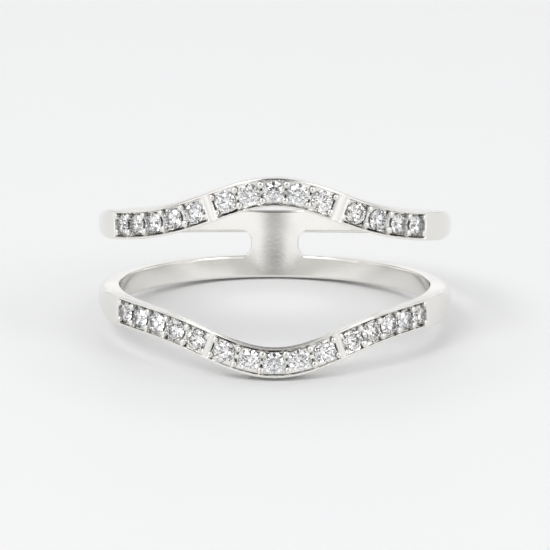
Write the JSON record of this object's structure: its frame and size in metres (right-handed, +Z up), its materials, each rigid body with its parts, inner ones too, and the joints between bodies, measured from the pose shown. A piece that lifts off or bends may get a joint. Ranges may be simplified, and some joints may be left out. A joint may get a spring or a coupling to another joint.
{
  "type": "ring guard enhancer",
  "caption": "Slim stone-set bands with arched fronts, soldered together behind the finger, that slide on over another ring and frame its head.",
  "frame": {"origin": "on the floor, at the centre of the footprint of the guard as it lies on its side", "axes": "+Z up, close to the finger bore's axis, which leans 10.9 degrees back; -Y towards the arched fronts; +X to the right as seen from the front"},
  "size_m": [0.0196, 0.0206, 0.0109],
  "materials": {
    "white_gold": "polished white gold, thin bright-cut rails and raised grains",
    "diamond": "colourless round brilliants, polished facets"
  },
  "bodies": {
    "root": {"guard": "white_gold", "upper_left_stone_1": "diamond", "upper_left_stone_2": "diamond", "upper_left_stone_3": "diamond", "upper_left_stone_4": "diamond", "upper_left_stone_5": "diamond", "upper_middle_stone_1": "diamond", "upper_middle_stone_2": "diamond", "upper_middle_stone_3": "diamond", "upper_middle_stone_4": "diamond", "upper_middle_stone_5": "diamond", "upper_right_stone_1": "diamond", "upper_right_stone_2": "diamond", "upper_right_stone_3": "diamond", "upper_right_stone_4": "diamond", "lower_left_stone_1": "diamond", "lower_left_stone_2": "diamond", "lower_left_stone_3": "diamond", "lower_left_stone_4": "diamond", "lower_left_stone_5": "diamond", "lower_middle_stone_1": "diamond", "lower_middle_stone_2": "diamond", "lower_middle_stone_3": "diamond", "lower_middle_stone_4": "diamond", "lower_middle_stone_5": "diamond", "lower_right_stone_1": "diamond", "lower_right_stone_2": "diamond", "lower_right_stone_3": "diamond", "lower_right_stone_4": "diamond", "lower_right_stone_5": "diamond"}
  },
  "joints": []
}
